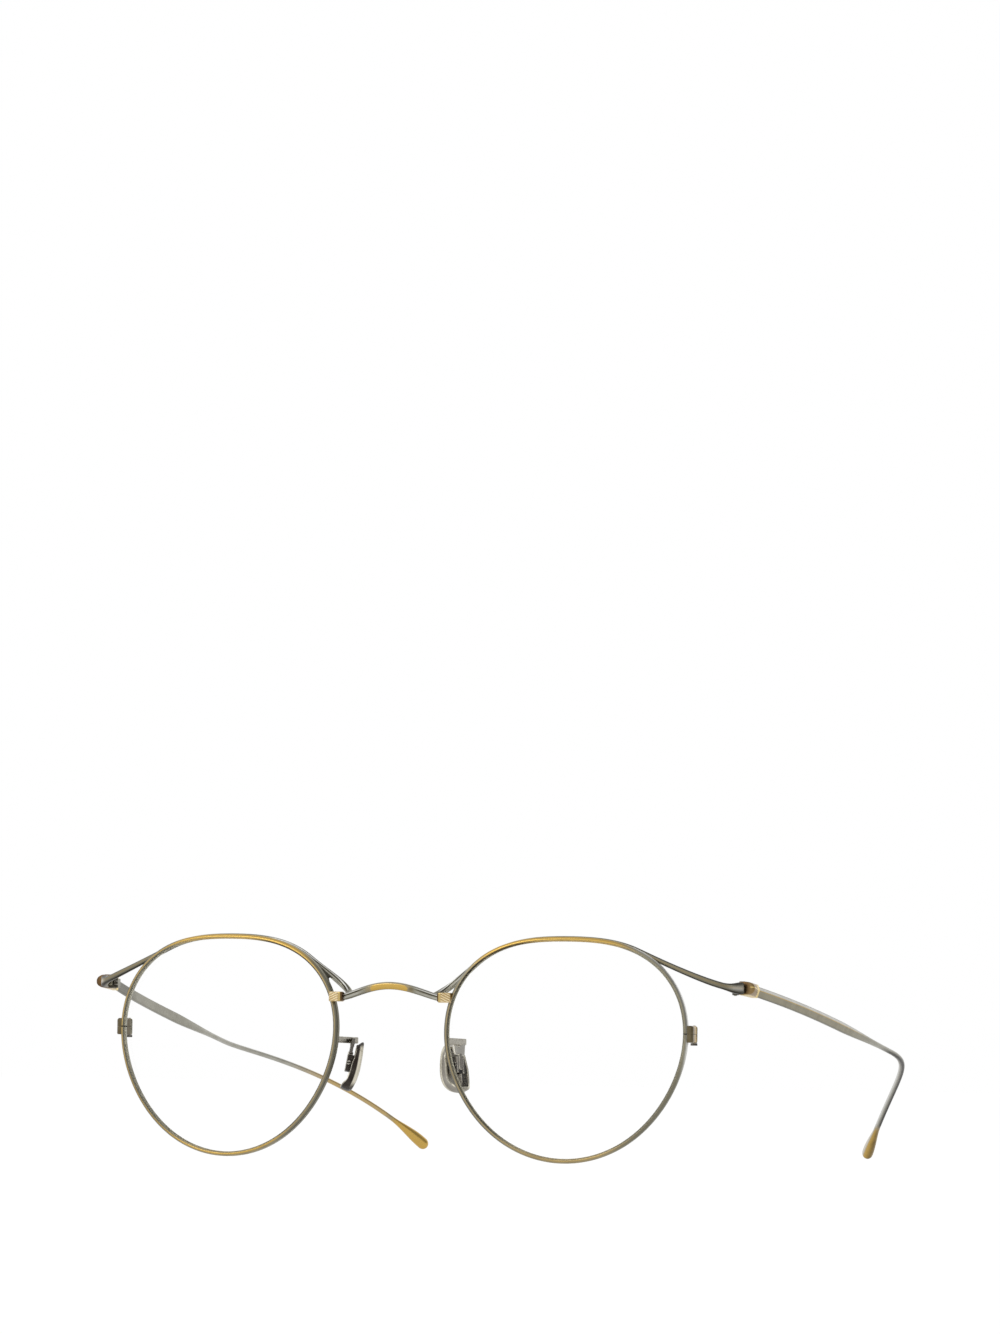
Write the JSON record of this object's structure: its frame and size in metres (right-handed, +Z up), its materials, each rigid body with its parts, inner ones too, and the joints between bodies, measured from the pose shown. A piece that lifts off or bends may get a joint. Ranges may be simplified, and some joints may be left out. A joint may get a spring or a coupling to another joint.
{
  "type": "round eyeglasses",
  "caption": "Round metal eyeglasses with brow wires that run from the bridge over the rims to the hinges, folding ridged temples with bare drop tips, and rocking metal nose pads.",
  "frame": {"origin": "middle of the bounding box's underside, on the table that both rims and both temple tips rest on", "axes": "+X to the wearer's left, +Y from the lenses towards the temple tips, +Z up"},
  "size_m": [0.1476, 0.1532, 0.0433],
  "materials": {
    "aged_gold": "worn antique gold, olive-grey in the hollows",
    "bright_gold": "polished gold",
    "steel": "plain satin steel",
    "lens": "clear, polished"
  },
  "bodies": {
    "front": {"bridge": "aged_gold", "rim_left": "aged_gold", "rim_right": "aged_gold", "lens_left": "lens", "lens_right": "lens", "closing_block_upper_left": "aged_gold", "closing_block_upper_right": "aged_gold", "closing_block_lower_left": "aged_gold", "closing_block_lower_right": "aged_gold", "closing_screw_left": "steel", "closing_screw_right": "steel", "endpiece_left": "aged_gold", "endpiece_right": "aged_gold", "hinge_screw_left": "steel", "hinge_screw_right": "steel", "pad_arm_left": "steel", "pad_arm_right": "steel", "bridge_collar_left": "bright_gold", "bridge_collar_right": "bright_gold", "brow_wire_left": "aged_gold", "brow_wire_right": "aged_gold"},
    "left_temple": {"temple_left": "aged_gold", "temple_collar_left": "bright_gold", "hinge_leaf_left": "aged_gold"},
    "right_temple": {"temple_right": "aged_gold", "temple_collar_right": "bright_gold", "hinge_leaf_right": "aged_gold"},
    "left_pad": {"nose_pad_left": "steel", "pad_box_left": "steel", "pad_screw_left": "steel"},
    "right_pad": {"nose_pad_right": "steel", "pad_box_right": "steel", "pad_screw_right": "steel"}
  },
  "joints": [
    {"name": "left_temple_fold", "type": "hinge", "parent": "front", "child": "left_temple", "pos_m": [0.06477, -0.06046, 0.0332], "axis": [0, 0, 1], "range_deg": [0, 90]},
    {"name": "right_temple_fold", "type": "hinge", "parent": "front", "child": "right_temple", "pos_m": [-0.06477, -0.06046, 0.0332], "axis": [0, 0, -1], "range_deg": [0, 82]},
    {"name": "left_pad_rock", "type": "hinge", "parent": "front", "child": "left_pad", "pos_m": [0.01146, -0.06784, 0.01839], "axis": [0.424, 0.8977, -0.1198], "range_deg": [-5, 5]},
    {"name": "right_pad_rock", "type": "hinge", "parent": "front", "child": "right_pad", "pos_m": [-0.01146, -0.06784, 0.01839], "axis": [0.424, -0.8977, 0.1198], "range_deg": [-5, 5]}
  ]
}
